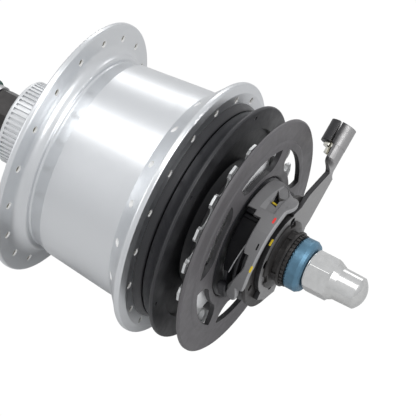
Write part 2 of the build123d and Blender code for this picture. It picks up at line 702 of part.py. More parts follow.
def low_carrier_plate():
    body = ring(31.0, 8.0, -16.2, -18.2)
    return pin_holes(body, LOW_CENTRE, -16, -19)


def low_planet_pins():
    places = [polar(LOW_CENTRE, 360 / PLANETS * i) for i in range(PLANETS)]
    return [rod(PIN_R, -3.4, -18.2, x, z) for x, z in places]


# ---------------------------------------------------------------- ball bearings
def balls(race, count):
    pitch_r, y, ball_r = race
    return around(Pos(pitch_r, y, 0) * Sphere(ball_r), count)


def retainer(race, count, ring_side, inner_r, outer_r):
    """Thin ring beside the balls, notched by each of them."""
    pitch_r, y, ball_r = race
    middle = y + ring_side * 0.8 * ball_r
    body = ring(outer_r, inner_r, middle + 0.3, middle - 0.3)
    for hole in around(Pos(pitch_r, y, 0) * Sphere(ball_r + 0.03), count):
        body -= hole
    return body


# ---------------------------------------------------------------- shifter
def shift_cam_sleeve():
    """Tube on the axle, with windows for the raised pawl and for the cone's two keys."""
    body = ring(SLEEVE_OUT_R, SLEEVE_IN_R, 23.0, -56.6)
    body -= ring_sector(9, 5, 72, 108 + SHIFT_TRAVEL, 11.9, 7.5)
    for middle in (90, 270):
        body -= ring_sector(9, 5, middle - 13, middle + 13 + SHIFT_TRAVEL, -36.8, -41.2)
    return body


def cable_pulley():
    """Grooved wheel that winds the inner cable and turns the shift sleeve."""
    groove_left, groove_right = CABLE_Y + 1.3, CABLE_Y - 1.3
    body = turned((SLEEVE_OUT_R, -48.6), (10.6, -48.6), (10.6, -49.6), (PULLEY_R, -49.6),
                  (PULLEY_R, groove_left), (CABLE_GROOVE_R, CABLE_Y + 0.8), (CABLE_GROOVE_R, CABLE_Y - 0.8),
                  (PULLEY_R, groove_right), (PULLEY_R, -54.2), (20.4, -54.8), (20.4, -55.8),
                  (SLEEVE_OUT_R, -55.8))
    body -= ring_sector(DRUM_R, 15.6, 186, 214, -48.0, -53.8)
    body -= ring_sector(DRUM_R, 21.2, 112, 150, -48.0, -50.2)
    for turn in range(5):
        x, z = polar(14.2, 30 + 72 * turn)
        body -= rod(2.6, -53.2, -57.0, x, z)
    return body


def return_spring():
    """Flat spiral spring between the driver cap and the pulley, of half-turn arcs."""
    width, step, turns = 0.9, 2.0, 6
    body = None
    for i in range(turns):
        radius = 11.6 + step / 2 * i
        centre = 0.0 if i % 2 == 0 else step / 2
        start = 0 if i % 2 == 0 else 180
        half = sector(radius + width, start, start + 180) - Circle(radius)
        arc = plate(Pos(centre, 0) * half, -47.0, -48.2)
        body = arc if body is None else body + arc
    return body


# The cover's edges: angle, y of the inboard edge, y of the outboard edge
# The star's corners: round the cover, and along the axle


def axial_section(angle, corners):
    """Closed (radius, y) section on the half plane at an angle about the axle."""
    return spin(make_face(Polyline(*corners, close=True)), angle)


def cover_part(rows):
    """Part of the cover between its two edges, with a rounded rim on each."""
    sections = []
    for angle, left, right in rows:
        corners = ((COVER_IN_R, left), (DRUM_R - 0.35, left), (DRUM_R, left - 0.35),
                   (DRUM_R, right + 0.5), (DRUM_R - 0.5, right), (COVER_IN_R, right))
        sections.append(axial_section(angle, corners))
    return loft(sections, ruled=True)


def cover_hood():
    """Hood whose face steps down over a wedge-shaped ramp and rises again to the band."""
    sections = []
    for angle, left, right in COVER_HOOD:
        share = (angle - RECESS_FROM) / (RECESS_TO - RECESS_FROM)
        depth = 0.15 + (RECESS_DEPTH - 0.15) * share
        ramp = -53.1 + 1.1 * share
        ramp_end = ramp - 0.3 - 1.9 * share
        band = max(right + 0.8, -58.2 + 3.4 * (1 - min(1, share * 3)))
        corners = ((COVER_IN_R, left), (DRUM_R - 0.35, left), (DRUM_R, left - 0.35), (DRUM_R, ramp),
                   (DRUM_R - depth, ramp_end), (DRUM_R - depth, band), (DRUM_R, band - 0.1),
                   (DRUM_R, right + 0.5), (DRUM_R - 0.5, right), (COVER_IN_R, right))
        sections.append(axial_section(angle, corners))
    return loft(sections, ruled=True)


def star_cut():
    """Star-shaped window through the hood, cut towards the axle."""
    outline = make_face(Polyline(*[(along, across) for across, along in STAR_CORNERS], close=True))
    angle, y = STAR_PLACE
    star = extrude(Plane.YZ * outline, amount=6, both=True)
    return spin(Pos(DRUM_R, y, 0) * star, angle)


def bracket_cover():
    """Grey drum cover: a hood with a ramp and a star window, a ledge, a rim band and a lobe."""
    body = cover_part(COVER_NOSE) + cover_hood()
    for rows in (COVER_LEDGE, COVER_STEP, COVER_BAND, COVER_NECK, COVER_LOBE):
        body += cover_part(rows)
    return body - star_cut()


def bracket_base():
    """Black steel disc keyed to the axle's core; it carries the cover and the arm."""
    body = ring(COVER_IN_R - 0.05, AXLE_THREAD_R, -57.8, -59.2)
    for turn in range(3):
        x, z = polar(19.2, 130 + 50 * turn)
        body -= rod(1.3, -57.0, -60.0, x, z)
    return body


def arm_point(along, across):
    """Point in the (x, z) plane from distances along and across the arm's direction."""
    c, s = cos(radians(ARM_ANGLE)), sin(radians(ARM_ANGLE))
    return (along * c - across * s, along * s + across * c)


def arm_outline():
    """Flat plate: a ring round the axle, a lobe behind it and the tapering arm."""
    upper = ((13.3, 10.8), (18, 7.0), (24, 5.6), (ARM_BEND, ARM_EDGE_TOP))
    lower = ((ARM_BEND, ARM_EDGE_LOW), (27, -9.9), (18, -10.3), (14.2, -9.6), (10, -13))
    arm = make_face(Polyline(*[arm_point(*corner) for corner in upper + lower], close=True))
    lobe = make_face(Polyline(polar(16, 205), polar(19.4, 208), polar(19.4, 232), polar(19.4, 256),
                              polar(16, 262), polar(8, 230), close=True))
    return Circle(16.5) + arm + lobe


def cable_arm():
    """Pressed metal arm: flat plate, a joggle inboard and a rolled tube for the cable casing."""
    body = plate(arm_outline() - Circle(AXLE_THREAD_R + RUN), ARM_LEFT, ARM_RIGHT)
    for angle, radius in ((58, 13.9), (238, 13.9), (148, 13.9)):
        x, z = polar(radius, angle)
        body -= rod(1.7, ARM_LEFT + 1, ARM_RIGHT - 1, x, z)
    return body + along_arm(arm_joggle() + half_pipe() + casing_tube())


def along_arm(shape):
    """Place a shape drawn with +X along the arm and Z = 0 at the casing's height."""
    return spin(Pos(0, 0, -CABLE_GROOVE_R) * shape, ARM_ANGLE)


def pipe_corners():
    """Corners of the open half pipe's section, on its outboard side: outer then inner face."""
    outer, inner, half = HOLDER_R - 0.06, HOLDER_R - SHEET, radians(75)
    turns = [half - 2 * half * i / ARM_STRIPS for i in range(ARM_STRIPS + 1)]
    out = [(CABLE_Y - outer * cos(turn), outer * sin(turn)) for turn in turns]
    back = [(CABLE_Y - inner * cos(turn), inner * sin(turn)) for turn in reversed(turns)]
    return out + back


def plate_corners():
    """As many corners on the flat plate's section where the joggle starts."""
    top, low = ARM_EDGE_TOP + CABLE_GROOVE_R, ARM_EDGE_LOW + CABLE_GROOVE_R
    heights = [top + (low - top) * i / ARM_STRIPS for i in range(ARM_STRIPS + 1)]
    return [(ARM_RIGHT, z) for z in heights] + [(ARM_LEFT, z) for z in reversed(heights)]


def arm_section(along, corners):
    return Plane.YZ.offset(along) * make_face(Polyline(*corners, close=True))


def arm_joggle():
    """Strip from the plate to the open half of the tube: bent on top with an ear, straight below."""
    sections = []
    highest, lowest = ARM_EDGE_TOP + CABLE_GROOVE_R, ARM_EDGE_LOW + CABLE_GROOVE_R
    for station in range(ARM_STATIONS + 1):
        share = station / ARM_STATIONS
        bent = share * share * (3 - 2 * share)
        corners = []
        for (y0, z0), (y1, z1) in zip(plate_corners(), pipe_corners()):
            blend = share + (bent - share) * (z0 - lowest) / (highest - lowest)
            z = z0 + (z1 - z0) * blend
            if z > 0:
                z *= 1 + 0.16 * sin(pi * share)
            corners.append((y0 + (y1 - y0) * blend, z))
        sections.append(arm_section(ARM_BEND + (PIPE_START - ARM_BEND) * share, corners))
    return loft(sections, ruled=True)


def half_pipe():
    length = HOLDER_START - PIPE_START + 0.5
    return extrude(arm_section(PIPE_START, pipe_corners()), amount=length, dir=(1, 0, 0))


def casing_tube():
    """Rolled tube with a narrow slot on top; its bore is stepped for the ferrule's seat."""
    turn = (0, 90, 0)
    ends = (Align.CENTER, Align.CENTER, Align.MIN)
    tube = Cylinder(HOLDER_R, HOLDER_LENGTH, rotation=turn, align=ends)
    seat = Cylinder(SEAT_R, 3 * HOLDER_LENGTH, rotation=turn)
    bore = Pos(SEAT_LENGTH, 0, 0) * Cylinder(HOLDER_BORE_R, 2 * HOLDER_LENGTH, rotation=turn, align=ends)
    slot = Pos(HOLDER_LENGTH / 2, 0, HOLDER_R) * Box(2 * HOLDER_LENGTH, SLOT_WIDTH, HOLDER_R * 1.4)
    return Pos(HOLDER_START, CABLE_Y, 0) * (tube - seat - bore - slot)


def casing_stop():
    """Bright ferrule that the cable casing rests on, with a slot and bore for the inner cable."""
    turn = (0, 90, 0)
    ferrule = Cylinder(SEAT_R - 0.02, SEAT_LENGTH, rotation=turn)
    ferrule += Pos(-1.9, 0, 0) * Cylinder(3.5, 1.4, rotation=turn)
    ferrule += Pos(-3.8, 0, 0) * Cylinder(2.0, 2.6, rotation=turn)
    ferrule -= Cylinder(0.9, 20, rotation=turn)
    ferrule -= Pos(0, 0, 4) * Box(20, SLOT_WIDTH, 8)
    return along_arm(Pos(HOLDER_START + SEAT_LENGTH / 2, CABLE_Y, 0) * ferrule)


def fixing_ring():
    """Bayonet ring: flange, barrel with finger notches and a rolled rim."""
    body = turned((7.0, -61.3), (13.8, -61.3), (13.8, -61.9), (11.8, -62.6), (10.2, -62.8), (10.2, -64.8),
                  (11.2, -65.0), (11.2, -65.8), (10.8, -66.0), (7.0, -66.0))
    notch = Pos(10.2, -63.8, 0) * Box(1.6, 2.0, 5.0)
    for cut in around(notch, 6, 96):
        body -= cut
    for cut in around(Pos(14.0, -61.8, 0) * Box(3.4, 3.0, 4.4), 3, 60):
        body -= cut
    return body


# ---------------------------------------------------------------- write every node
SINGLE = (
    axle, sun_pawls, left_cone, left_lock_nut, left_lock_washer, right_cone, right_lock_nut,
    hub_shell, rotor_spline_mount, left_ball_cup, left_dust_seal, right_ball_cup, right_dust_ring,
    driver, sprocket, inner_chain_guard, outer_chain_guard, snap_ring, driver_dust_cap, low_ring_gear,
    main_ring_gear, clutch_rollers, clutch_cage, main_carrier, main_carrier_plate, main_planet_pins,
    direct_drive_pawls, low_carrier, low_carrier_plate, low_planet_pins,
    shift_cam_sleeve, cable_pulley, return_spring, bracket_cover, bracket_base, cable_arm, casing_stop,
    fixing_ring,
)


def main():
    for make in SINGLE:
        save(make.__name__, make())
    save("low_sun_gear", low_sun())
    for index in range(len(MAIN_SUNS)):
        save("sun_gear_" + str(index + 1), main_sun(index))
    for index in range(PLANETS):
        save("main_planet_" + str(index + 1), main_planet(index))
        save("low_planet_" + str(index + 1), low_planet(index))
    for name, side in (("right", -1), ("left", 1)):
        save(name + "_non_turn_washer", non_turn_washer(side))
        save(name + "_cap_nut", cap_nut(side))
    for name, race, count, ring_side, inner_r, outer_r in BEARINGS:
        save(name + "_balls", balls(race, count))
        save(name + "_ball_retainer", retainer(race, count, ring_side, inner_r, outer_r))


main()
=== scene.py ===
import json
from math import cos, degrees, pi, radians, sin, sqrt

import bmesh
import bpy
from mathutils import Matrix, Vector


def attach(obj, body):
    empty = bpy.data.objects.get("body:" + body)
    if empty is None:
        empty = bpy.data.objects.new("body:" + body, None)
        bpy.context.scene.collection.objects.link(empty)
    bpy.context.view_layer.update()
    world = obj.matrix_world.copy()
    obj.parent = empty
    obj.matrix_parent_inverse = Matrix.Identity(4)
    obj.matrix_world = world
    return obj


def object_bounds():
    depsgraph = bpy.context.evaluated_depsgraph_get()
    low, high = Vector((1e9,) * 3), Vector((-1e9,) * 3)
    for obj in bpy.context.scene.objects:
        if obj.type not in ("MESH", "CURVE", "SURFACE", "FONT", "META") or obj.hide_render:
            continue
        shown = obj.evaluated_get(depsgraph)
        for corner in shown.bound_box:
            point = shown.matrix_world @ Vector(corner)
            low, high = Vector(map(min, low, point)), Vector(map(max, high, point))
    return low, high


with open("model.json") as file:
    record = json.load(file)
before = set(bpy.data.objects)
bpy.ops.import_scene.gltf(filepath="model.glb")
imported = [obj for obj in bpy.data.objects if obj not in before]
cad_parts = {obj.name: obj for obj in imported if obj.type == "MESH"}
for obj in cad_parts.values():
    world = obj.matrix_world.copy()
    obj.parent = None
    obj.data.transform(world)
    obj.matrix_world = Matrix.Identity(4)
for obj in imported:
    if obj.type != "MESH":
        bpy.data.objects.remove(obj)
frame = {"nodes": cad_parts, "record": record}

CAD_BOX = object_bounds()
MM = 0.001

# Lengths are in millimetres and angles in degrees, from +X towards +Z, unless a heading says otherwise.

# Surfaces
BEVEL_SAMPLES = 6
NOISE_RANGE = (0.3, 0.7)        # most of a noise texture's values lie between these
GUARD_RIM_R = 46.5              # the outer guard's face ends and its rim begins here; the rim is kept out of the painted shade

# Spoke holes in the shell
SPOKE_COUNT = 18
SPOKE_CIRCLE_R = 46.3
SPOKE_REACH = 1.43              # hole radius and a little more, so that the whole wall lies within it
SPOKE_PHASES = (1.8, 11.8)      # left flange, right flange
BARREL_MIDDLE = 5.0             # y between the two flanges
LEFT_HOLE_DEEP = 31.6           # y beyond which the inside of a left hole is painted dark as shade
RIGHT_HOLE_DEEP = (-22.0, 0.8)  # y in the middle of a right hole's stretch painted dark as shade, and half its length

# Bright cone of the sprocket's web: (radius, y) corners of its section
DISH_CORNERS = ((32.2, -41.75), (31.6, -42.0), (26.6, -44.0), (25.4, -44.25), (25.2, -43.9), (25.2, -41.75))

# Rings, blocks and pads laid round the axle
RING_PARTS = 120
SMOOTH_BELOW = 30               # a turned ring is shaded smooth across smaller angles than this
ROUND_ABOVE = 40                # a block's edges are rounded where they turn by more than this
ROUND_SEGMENTS = 3
PAD_STEPS = 14
PAD_SUNK = -0.1                 # an oblong pad's foot lies this far inside its drum
PAD_LEAST_REACH = 0.03          # half the width of a pad's blunt ends

# Studio, in metres and watts
FLOOR_DROP = 0.3 * MM
FLOOR_REACH = 6.0
PAPER_WHITE = 1.02              # what the camera sees of the paper
PAPER_GREY = (0.58, 0.58, 0.58)  # what the object reflects of it
SKY_COLOUR = (0.97, 0.98, 1.0)
SKY_STRENGTH = (0.66, 0.84)     # at the horizon, overhead
SOFTBOXES = (
    # name, place, (width, height), power
    ("overhead", (0.1, 0.75, 2.0), (1.0, 1.5), 8.0),
    ("front_low", (1.9, 0.75, 0.42), (1.2, 0.6), 3.5),
    ("drive_side", (0.1, -1.9, 1.6), (1.5, 1.1), 20.0),
    ("brake_side", (-0.9, 2.2, 0.9), (1.2, 1.0), 7.0),
)

# Camera: its lens and sensor in millimetres, its place in metres
LENS = 255.3
SENSOR = 36.0
CAMERA_PLACE = Vector((-0.5473, -0.3728, 0.9034))
CAMERA_RIGHT = Vector((0.53213, -0.84666, 0.0))
CAMERA_UP = Vector((0.68712, 0.43185, 0.58427))


# ---------------------------------------------------------------- node helpers
class Shader:
    """A material under construction: its node tree, its Principled shader and object coordinates."""

    def __init__(self, name, colour, metallic, roughness):
        self.material = bpy.data.materials.new(name)
        self.material.use_nodes = True
        self.tree = self.material.node_tree
        self.bsdf = self.tree.nodes["Principled BSDF"]
        self.set("Base Color", (*colour, 1.0))
        self.set("Metallic", metallic)
        self.set("Roughness", roughness)
        self.place = self.add("ShaderNodeTexCoord").outputs["Object"]
        self.normal = None

    def add(self, kind, **settings):
        """New node of this kind, with these settings."""
        node = self.tree.nodes.new(kind)
        for key, value in settings.items():
            setattr(node, key, value)
        return node

    def link(self, source, target):
        """Join one node's output to another's input."""
        self.tree.links.new(source, target)

    def set(self, socket, value):
        """Give a socket of the Principled shader a constant value."""
        self.bsdf.inputs[socket].default_value = value

    def math(self, operation, *values):
        """One arithmetic step between sockets or numbers."""
        node = self.add("ShaderNodeMath", operation=operation)
        for slot, value in enumerate(values):
            if isinstance(value, (int, float)):
                node.inputs[slot].default_value = value
            else:
                self.link(value, node.inputs[slot])
        return node.outputs[0]

    def split(self, vector):
        """The X, Y and Z of a vector, by name."""
        node = self.add("ShaderNodeSeparateXYZ")
        self.link(vector, node.inputs[0])
        return node.outputs

    def noise(self, size, detail=3.0):
        """Noise whose features are about this size across."""
        node = self.add("ShaderNodeTexNoise")
        node.inputs["Scale"].default_value = 1 / (size * MM)
        node.inputs["Detail"].default_value = detail
        self.link(self.place, node.inputs["Vector"])
        return node.outputs["Fac"]

    def mottled(self, mask, amount, size, detail=3.0):
        """A mask with this amount of noise added to it."""
        return self.math("ADD", mask, self.math("MULTIPLY", self.noise(size, detail), amount))

    def radius(self):
        """Distance from the axle, in metres."""
        place = self.split(self.place)
        join = self.add("ShaderNodeCombineXYZ")
        self.link(place["X"], join.inputs["X"])
        self.link(place["Z"], join.inputs["Z"])
        length = self.add("ShaderNodeVectorMath", operation="LENGTH")
        self.link(join.outputs[0], length.inputs[0])
        return length.outputs["Value"]

    def turned_lines(self, pitch):
        """Fine lathe marks: rings about the axle and round the barrel."""
        node = self.add("ShaderNodeTexNoise", noise_dimensions="1D")
        node.inputs["Scale"].default_value = 1 / (pitch * MM)
        node.inputs["Detail"].default_value = 2.0
        self.link(self.math("ADD", self.radius(), self.split(self.place)["Y"]), node.inputs["W"])
        return node.outputs["Fac"]

    def facing_drive_side(self):
        """1 on faces that look along the axle to the drive side, 0 on walls round the axle; tints use it to
        paint light on the first and shade on the second.
        """
        normal = self.add("ShaderNodeTexCoord").outputs["Normal"]
        return self.math("MULTIPLY", self.split(normal)["Y"], -1.0)

    def near_spoke_hole(self, phase):
        """1 close to the axis of a spoke hole of the circle at this phase, 0 away from it."""
        place = self.split(self.place)
        angle = self.math("ARCTAN2", place["Z"], place["X"])
        pitch = 2 * pi / SPOKE_COUNT
        turned = self.math("ADD", self.math("SUBTRACT", angle, radians(phase)), 2 * pi + pitch / 2)
        off = self.math("SUBTRACT", self.math("MODULO", turned, pitch), pitch / 2)
        across = self.math("MULTIPLY", off, SPOKE_CIRCLE_R * MM)
        along = self.math("SUBTRACT", self.radius(), SPOKE_CIRCLE_R * MM)
        squares = self.math("ADD", self.math("POWER", across, 2.0), self.math("POWER", along, 2.0))
        return self.math("LESS_THAN", squares, (SPOKE_REACH * MM) ** 2)

    def drive(self, socket, amount, low, high, span=NOISE_RANGE):
        """Drive a number on the shader from low to high as the amount crosses the span."""
        ramp = self.add("ShaderNodeMapRange")
        ramp.inputs["From Min"].default_value = span[0]
        ramp.inputs["From Max"].default_value = span[1]
        ramp.inputs["To Min"].default_value = low
        ramp.inputs["To Max"].default_value = high
        self.link(amount, ramp.inputs["Value"])
        self.link(ramp.outputs[0], self.bsdf.inputs[socket])

    def tint(self, amount, first, last):
        """Drive the base colour from the first colour to the last as the amount crosses the noise range."""
        ramp = self.add("ShaderNodeValToRGB")
        for stop, place, colour in zip(ramp.color_ramp.elements, NOISE_RANGE, (first, last)):
            stop.position = place
            stop.color = (*colour, 1.0)
        self.link(amount, ramp.inputs["Fac"])
        self.link(ramp.outputs["Color"], self.bsdf.inputs["Base Color"])

    def over(self, mask, colour):
        """Lay another colour over the base colour where the mask is 1."""
        mix = self.add("ShaderNodeMix", data_type="RGBA")
        self.link(mask, mix.inputs["Factor"])
        self.link(self.bsdf.inputs["Base Color"].links[0].from_socket, mix.inputs["A"])
        mix.inputs["B"].default_value = (*colour, 1.0)
        self.link(mix.outputs["Result"], self.bsdf.inputs["Base Color"])

    def soft_edges(self, radius):
        """Round the light over sharp edges, as on moulded and tumbled parts."""
        node = self.add("ShaderNodeBevel", samples=BEVEL_SAMPLES)
        node.inputs["Radius"].default_value = radius * MM
        self.normal = node.outputs[0]
        self.link(self.normal, self.bsdf.inputs["Normal"])

    def bump(self, height, depth):
        """Add relief of this depth to the surface."""
        node = self.add("ShaderNodeBump")
        node.inputs["Distance"].default_value = depth * MM
        node.inputs["Strength"].default_value = 1.0
        self.link(height, node.inputs["Height"])
        if self.normal is not None:
            self.link(self.normal, node.inputs["Normal"])
        self.normal = node.outputs["Normal"]
        self.link(self.normal, self.bsdf.inputs["Normal"])

    def moulded_relief(self, grain_depth):
        """Fine spark-eroded grain over faint flow waves."""
        self.bump(self.noise(0.35, detail=2.0), grain_depth)
        self.bump(self.noise(5.0, detail=1.0), 0.02)


def shade(colour, amount):
    """A colour made darker or lighter by a factor."""
    return tuple(min(1.0, part * amount) for part in colour)


# ---------------------------------------------------------------- materials
def anodised_aluminium():
    """Satin silver; inside the drilled spoke holes the metal is near-white and unmetallic, partly its own
    drilled finish and partly painted light seen through the holes, with a stretch in each painted dark as
    shade.
    """
    colour, bare_wall_and_painted_light, painted_hole_shade = (0.77, 0.785, 0.80), (0.95, 0.95, 0.94), (0.20, 0.19, 0.15)
    m = Shader("anodised_aluminium", colour, 1.0, 0.33)
    y = m.split(m.place)["Y"]
    on_left = m.math("GREATER_THAN", y, BARREL_MIDDLE * MM)
    on_right = m.math("SUBTRACT", 1.0, on_left)
    left_phase, right_phase = SPOKE_PHASES
    left = m.math("MULTIPLY", m.near_spoke_hole(left_phase), on_left)
    right = m.math("MULTIPLY", m.near_spoke_hole(right_phase), on_right)
    hole = m.math("ADD", left, right)
    # Painted light: the hole insides get a near-white, unmetallic colour, partly drilled metal and partly
    # standing for light seen through the holes
    m.tint(m.mottled(hole, 0.3, 9.0), shade(colour, 0.985), bare_wall_and_painted_light)
    m.drive("Metallic", hole, 1.0, 0.0, span=(0.0, 1.0))
    middle, half = RIGHT_HOLE_DEEP
    left_deep = m.math("MULTIPLY", left, m.math("GREATER_THAN", y, LEFT_HOLE_DEEP * MM))
    right_deep = m.math("MULTIPLY", right, m.math("COMPARE", y, middle * MM, half * MM))
    # Painted shade: a stretch inside each hole is coloured dark where it lies in shade
    m.over(m.math("ADD", left_deep, right_deep), painted_hole_shade)
    m.drive("Roughness", m.noise(2.2), 0.30, 0.35)
    m.bump(m.turned_lines(0.30), 0.0012)
    m.bump(m.noise(0.16, detail=2.0), 0.0025)
    return m.material


def machined_aluminium():
    """Bare aluminium, broached and turned."""
    colour = (0.76, 0.77, 0.78)
    m = Shader("machined_aluminium", colour, 0.4, 0.38)
    m.soft_edges(0.12)
    m.tint(m.noise(4.0), shade(colour, 0.97), shade(colour, 1.02))
    m.drive("Roughness", m.noise(1.2), 0.34, 0.42)
    m.bump(m.turned_lines(0.30), 0.001)
    return m.material


def moulded_plastic(name, colour, roughness, shine=0.5):
    """Injection-moulded plastic: fine grain, faint flow marks and rubbed patches."""
    m = Shader(name, colour, 0.0, roughness)
    m.set("Specular IOR Level", shine)
    m.soft_edges(0.3)
    m.tint(m.noise(6.0, detail=4.0), shade(colour, 0.88), shade(colour, 1.10))
    m.drive("Roughness", m.noise(3.0), roughness - 0.05, roughness + 0.07)
    m.moulded_relief(0.006)
    return m.material


def guard_plastic():
    """Grey moulded disc with a blasted face; surfaces turned away from the drive side, as inside its windows,
    are painted dark as shade, while its face and rim keep the grey.
    """
    face, painted_wall_shade = (0.104, 0.099, 0.104), (0.022, 0.021, 0.023)
    m = Shader("guard_plastic", face, 0.0, 0.40)
    m.soft_edges(0.3)
    # Painted light and shade: faces towards the drive side and the rim keep the grey, other surfaces such as
    # the window walls are painted dark as shade
    on_rim = m.math("GREATER_THAN", m.radius(), GUARD_RIM_R * MM)
    painted_light_mask = m.math("ADD", m.facing_drive_side(), on_rim)
    m.tint(m.mottled(painted_light_mask, 0.08, 6.0, detail=4.0), painted_wall_shade, face)
    m.drive("Roughness", m.noise(3.0), 0.35, 0.47)
    m.moulded_relief(0.008)
    return m.material


def cover_plastic():
    """Grey moulded drum, painted paler on faces turned to the drive side and darker on surfaces turned away,
    as painted light and shade.
    """
    flat, edge = (0.165, 0.163, 0.166), (0.30, 0.30, 0.305)
    m = Shader("drum_plastic", flat, 0.0, 0.42)
    m.soft_edges(0.35)
    # Painted light and shade: the paler tone goes on faces turned to the drive side, the darker on surfaces
    # turned away
    m.tint(m.mottled(m.facing_drive_side(), 0.12, 6.0), flat, edge)
    m.drive("Roughness", m.noise(3.0), 0.37, 0.49)
    m.moulded_relief(0.006)
    return m.material


def coated_steel(name, colour, metallic, roughness):
    """Pressed or turned steel under a thin coating, with faint orange peel and worn tone."""
    m = Shader(name, colour, metallic, roughness)
    m.soft_edges(0.2)
    m.tint(m.noise(3.5, detail=4.0), shade(colour, 0.85), shade(colour, 1.12))
    m.drive("Roughness", m.noise(1.6), roughness - 0.06, roughness + 0.08)
    m.bump(m.noise(0.45, detail=3.0), 0.006)
    return m.material


def arm_steel():
    """Pressed sheet with blasted faces: faces turned to the drive side are painted light grey, and edges and
    walls turned away are painted dark as shade.
    """
    light, dark = (0.36, 0.355, 0.355), (0.05, 0.049, 0.051)
    m = Shader("arm_metal", light, 0.75, 0.40)
    m.soft_edges(0.6)
    # Painted light and shade: the light grey goes on faces turned to the drive side, the dark on edges and
    # walls turned away
    m.tint(m.mottled(m.facing_drive_side(), 0.12, 2.0), dark, light)
    m.drive("Roughness", m.noise(1.6), 0.36, 0.46)
    m.bump(m.noise(0.5, detail=3.0), 0.012)
    return m.material


def plated_steel(name, colour, roughness, metallic=1.0):
    """Bright plated steel with the marks of turning under the plating."""
    m = Shader(name, colour, metallic, roughness)
    m.soft_edges(0.15)
    m.tint(m.noise(2.5, detail=3.0), shade(colour, 0.94), shade(colour, 1.04))
    m.drive("Roughness", m.noise(1.0), roughness - 0.04, roughness + 0.05)
    m.bump(m.turned_lines(0.25), 0.002)
    m.bump(m.noise(2.0, detail=2.0), 0.006)
    return m.material


def paint(name, colour):
    """Thick printed mark, a little uneven and satin."""
    m = Shader(name, colour, 0.0, 0.42)
    m.tint(m.noise(0.8), shade(colour, 0.85), shade(colour, 1.1))
    m.bump(m.noise(0.4), 0.01)
    return m.material


MATERIALS = {
    "anodised_shell": anodised_aluminium(),
    "rotor_spline": machined_aluminium(),
    "black_plastic": moulded_plastic("black_plastic", (0.020, 0.020, 0.023), 0.34),
    "deep_black": moulded_plastic("deep_black_plastic", (0.005, 0.005, 0.006), 0.38, shine=0.16),
    "grey_guard": guard_plastic(),
    "grey_drum": cover_plastic(),
    "arm_metal": arm_steel(),
    # Near-white and nearly unmetallic: partly the bright plating, partly a painted reflection on the
    # sprocket's web
    "bright_web": plated_steel("bright_web", (0.95, 0.955, 0.96), 0.42, metallic=0.15),
    # Pale plastic for the guide's lip: a painted highlight line
    "lit_edge": moulded_plastic("painted_highlight_plastic", (0.42, 0.42, 0.43), 0.34),
    "black_steel": coated_steel("black_steel", (0.040, 0.037, 0.036), 0.4, 0.34),
    "blue_washer": coated_steel("blue_plating", (0.115, 0.235, 0.335), 0.65, 0.38),
    "green_washer": coated_steel("green_plating", (0.03, 0.12, 0.09), 0.85, 0.32),
    "nickel_nut": plated_steel("nickel", (0.70, 0.70, 0.69), 0.17),
    "plain_steel": plated_steel("steel", (0.55, 0.55, 0.55), 0.30),
    "hard_steel": plated_steel("hardened_steel", (0.40, 0.40, 0.41), 0.32),
    "sprocket_steel": plated_steel("sprocket_plating", (0.86, 0.87, 0.87), 0.34, metallic=0.45),
    "brass_ferrule": plated_steel("ferrule_plating", (0.78, 0.76, 0.68), 0.18),
    "yellow_paint": paint("yellow_paint", (0.85, 0.62, 0.03)),
    "red_paint": paint("red_paint", (0.80, 0.02, 0.015)),
}


def dress_cad_nodes():
    """Give every CAD node the material of its slot."""
    for row in frame["record"]["subparts"]:
        node = frame["nodes"][row["node"]]
        node.data.materials.clear()
        node.data.materials.append(MATERIALS[row["material_slot"]])


# ---------------------------------------------------------------- shapes laid round the axle
def on_drum(radius, angle, y):
    """Point, in metres, at this radius and y in millimetres and this angle."""
    return Vector((radius * cos(radians(angle)), y, radius * sin(radians(angle)))) * MM


def add_piece(name, verts, faces, material, body, slot=None):
    """Object of this mesh that rides on a body; the slot argument is not used."""
    mesh = bpy.data.meshes.new(name)
    mesh.from_pydata(verts, [], faces)
    work = bmesh.new()
    work.from_mesh(mesh)
    bmesh.ops.recalc_face_normals(work, faces=work.faces)
    work.to_mesh(mesh)
    work.free()
    mesh.materials.append(MATERIALS[material])
    obj = bpy.data.objects.new(name, mesh)
    bpy.context.scene.collection.objects.link(obj)
    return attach(obj, body)


def tube_of_sections(sections):
    """Vertices and faces of a closed solid through equal rings of points."""
    size = len(sections[0])
    verts = [point for section in sections for point in section]
    faces = [tuple(range(size)), tuple(range(len(verts) - size, len(verts)))]
    for row in range(len(sections) - 1):
        for i in range(size):
            here = row * size + i
            ahead = row * size + (i + 1) % size
            faces.append((here, ahead, ahead + size, here + size))
    return verts, faces


def turned_ring(name, corners, material, body, slot):
    """Ring about the axle from (radius, y) corners of its section."""
    count = len(corners)
    verts = [on_drum(r, 360 * i / RING_PARTS, y) for i in range(RING_PARTS) for r, y in corners]
    faces = []
    for i in range(RING_PARTS):
        here = i * count
        ahead = (i + 1) % RING_PARTS * count
        for j in range(count):
            k = (j + 1) % count
            faces.append((here + j, here + k, ahead + k, ahead + j))
    ring = add_piece(name, verts, faces, material, body, slot)
    ring.data.polygons.foreach_set("use_smooth", [True] * len(faces))
    ring.data.set_sharp_from_angle(angle=radians(SMOOTH_BELOW))


def curved_block(name, radii, rows, rounding, material, body, slot):
    """Block wrapped round the axle: rows of (angle, left y, right y), between two radii, with round edges."""
    inner, outer = radii
    sections = [
        [on_drum(outer, angle, left), on_drum(outer, angle, right),
         on_drum(inner, angle, right), on_drum(inner, angle, left)]
        for angle, left, right in rows
    ]
    block = add_piece(name, *tube_of_sections(sections), material, body, slot)
    bevel = block.modifiers.new("rounding", "BEVEL")
    bevel.width = rounding * MM
    bevel.segments = ROUND_SEGMENTS
    bevel.limit_method = "ANGLE"
    bevel.angle_limit = radians(ROUND_ABOVE)


